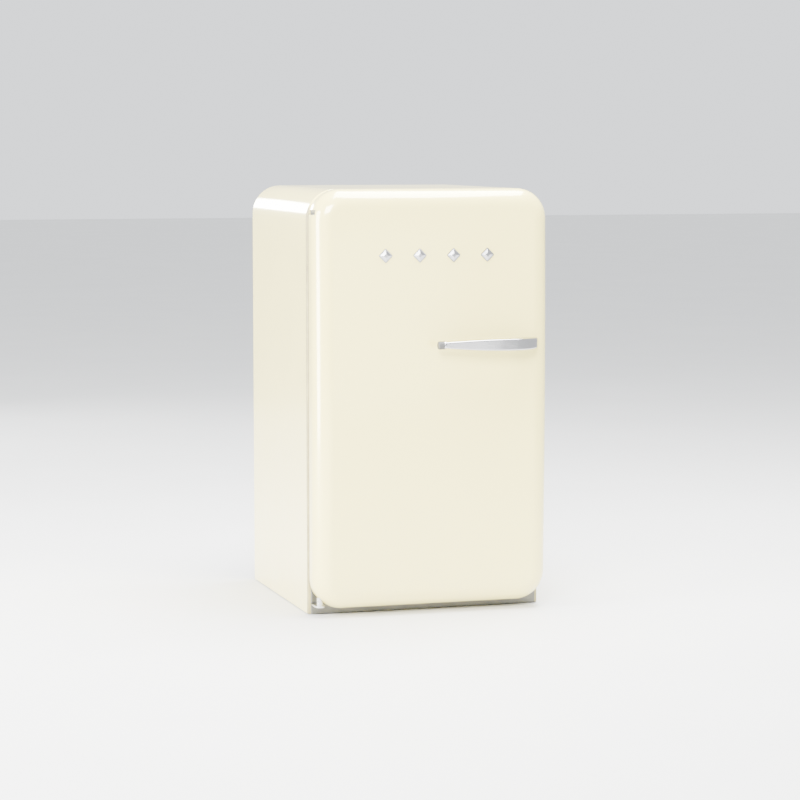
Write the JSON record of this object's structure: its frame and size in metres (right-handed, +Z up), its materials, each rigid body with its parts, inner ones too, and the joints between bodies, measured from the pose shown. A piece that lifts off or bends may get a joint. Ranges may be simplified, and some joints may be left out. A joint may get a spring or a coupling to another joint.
{
  "type": "mini fridge",
  "caption": "Retro mini fridge with rounded cream door, chrome bar handle, silver plinth, ice box, glass shelves, wire rack, drawer, door bins and rear condenser.",
  "frame": {"origin": "on the floor, at the bottom centre of the whole fridge with its door closed and its handle counted", "axes": "+X to the right seen from the front, +Y to the back, +Z up; the door faces -Y and its hinges are on the -X side"},
  "size_m": [0.545, 0.625, 0.95],
  "materials": {
    "cream_paint": "gloss",
    "liner_white": "satin",
    "foam": "matte",
    "galvanised": "satin",
    "zinc_steel": "satin",
    "silver_plastic": "satin",
    "black_enamel": "satin",
    "copper": "satin",
    "black_plastic": "matte",
    "black_rubber": "matte",
    "grey_plastic": "matte",
    "shelf_glass": "gloss",
    "chrome": "polished",
    "clear_plastic": "gloss",
    "aluminium_sheet": "satin",
    "white_plastic": "satin",
    "seal_rubber": "matte",
    "board": "satin"
  },
  "bodies": {
    "cabinet": {"left_side_panel": "cream_paint", "right_side_panel": "cream_paint", "top_panel": "cream_paint", "front_frame": "cream_paint", "cavity_liner": "liner_white", "cabinet_insulation": "foam", "back_panel": "galvanised", "underside_sheet": "galvanised", "base_frame": "galvanised", "compressor_tray": "galvanised", "cabinet_screws": "zinc_steel", "upper_hinge": "zinc_steel", "lower_hinge": "zinc_steel", "plinth": "silver_plastic", "shelf_trims": "silver_plastic", "compressor": "black_enamel", "condenser_tube": "black_enamel", "condenser_wires": "black_enamel", "filter_drier": "copper", "refrigerant_pipes": "copper", "condenser_brackets": "black_plastic", "relay_box": "black_plastic", "cord_gland": "black_plastic", "rear_feet": "black_plastic", "compressor_grommets": "black_rubber", "drip_tray": "grey_plastic", "drain_tube": "grey_plastic", "upper_glass_shelf": "shelf_glass", "lower_glass_shelf": "shelf_glass", "crisper_cover": "shelf_glass", "bottle_rack": "chrome", "lamp_cover": "clear_plastic", "ice_box": "aluminium_sheet", "ice_box_hangers": "white_plastic", "ice_box_bezel": "white_plastic", "control_housing": "white_plastic", "door_switch": "white_plastic", "lamp_board": "board"},
    "door": {"door_skin": "cream_paint", "door_liner": "liner_white", "door_foam": "foam", "door_gasket": "seal_rubber", "hinge_inserts": "white_plastic", "handle_bar": "chrome", "handle_collar": "chrome", "handle_cap": "grey_plastic", "handle_screws": "zinc_steel", "badge_studs": "chrome"},
    "dairy_bin": {"dairy_bin": "clear_plastic"},
    "dairy_lid": {"dairy_lid": "clear_plastic"},
    "middle_bin": {"middle_bin": "clear_plastic", "middle_bin_rail": "chrome"},
    "bottle_bin": {"bottle_bin": "clear_plastic", "bottle_bin_rail": "chrome"},
    "crisper": {"crisper_drawer": "clear_plastic"},
    "ice_flap": {"ice_flap": "white_plastic"},
    "thermostat_knob": {"thermostat_knob": "white_plastic"},
    "switch_plunger": {"switch_plunger": "white_plastic"},
    "left_front_foot": {"left_front_foot": "black_plastic"},
    "right_front_foot": {"right_front_foot": "black_plastic"}
  },
  "joints": [
    {"name": "door_hinge", "type": "hinge", "parent": "cabinet", "child": "door", "pos_m": [-0.2545, -0.2235, 0.45], "axis": [0, 0, -1], "range_deg": [0, 110]},
    {"name": "crisper_slide", "type": "slide", "parent": "cabinet", "child": "crisper", "axis": [0, -1, 0], "range_m": [0, 0.14]},
    {"name": "switch_press", "type": "slide", "parent": "cabinet", "child": "switch_plunger", "axis": [0, -1, 0], "range_m": [0, 0.006]},
    {"name": "thermostat_turn", "type": "hinge", "parent": "cabinet", "child": "thermostat_knob", "pos_m": [0.1995, -0.0075, 0.742], "axis": [-1, 0, 0], "range_deg": [0, 270]},
    {"name": "ice_flap_hinge", "type": "hinge", "parent": "cabinet", "child": "ice_flap", "pos_m": [0, -0.0643, 0.891], "axis": [-1, 0, 0], "range_deg": [0, 88]},
    {"name": "dairy_bin_lift", "type": "slide", "parent": "door", "child": "dairy_bin", "axis": [0, 0, 1], "range_m": [0, 0.028]},
    {"name": "dairy_lid_hinge", "type": "hinge", "parent": "dairy_bin", "child": "dairy_lid", "pos_m": [0, -0.19, 0.7024], "axis": [1, 0, 0], "range_deg": [0, 84]},
    {"name": "middle_bin_lift", "type": "slide", "parent": "door", "child": "middle_bin", "axis": [0, 0, 1], "range_m": [0, 0.028]},
    {"name": "bottle_bin_lift", "type": "slide", "parent": "door", "child": "bottle_bin", "axis": [0, 0, 1], "range_m": [0, 0.028]},
    {"name": "left_foot_screw", "type": "slide", "parent": "cabinet", "child": "left_front_foot", "axis": [0, 0, -1], "range_m": [0, 0.012]},
    {"name": "right_foot_screw", "type": "slide", "parent": "cabinet", "child": "right_front_foot", "axis": [0, 0, -1], "range_m": [0, 0.012]}
  ],
  "couplings": [
    {"joint": "crisper_slide", "follows": "door_hinge", "m_per_rad": 0.072885},
    {"joint": "switch_press", "follows": "door_hinge", "m_per_rad": 0.003124}
  ]
}
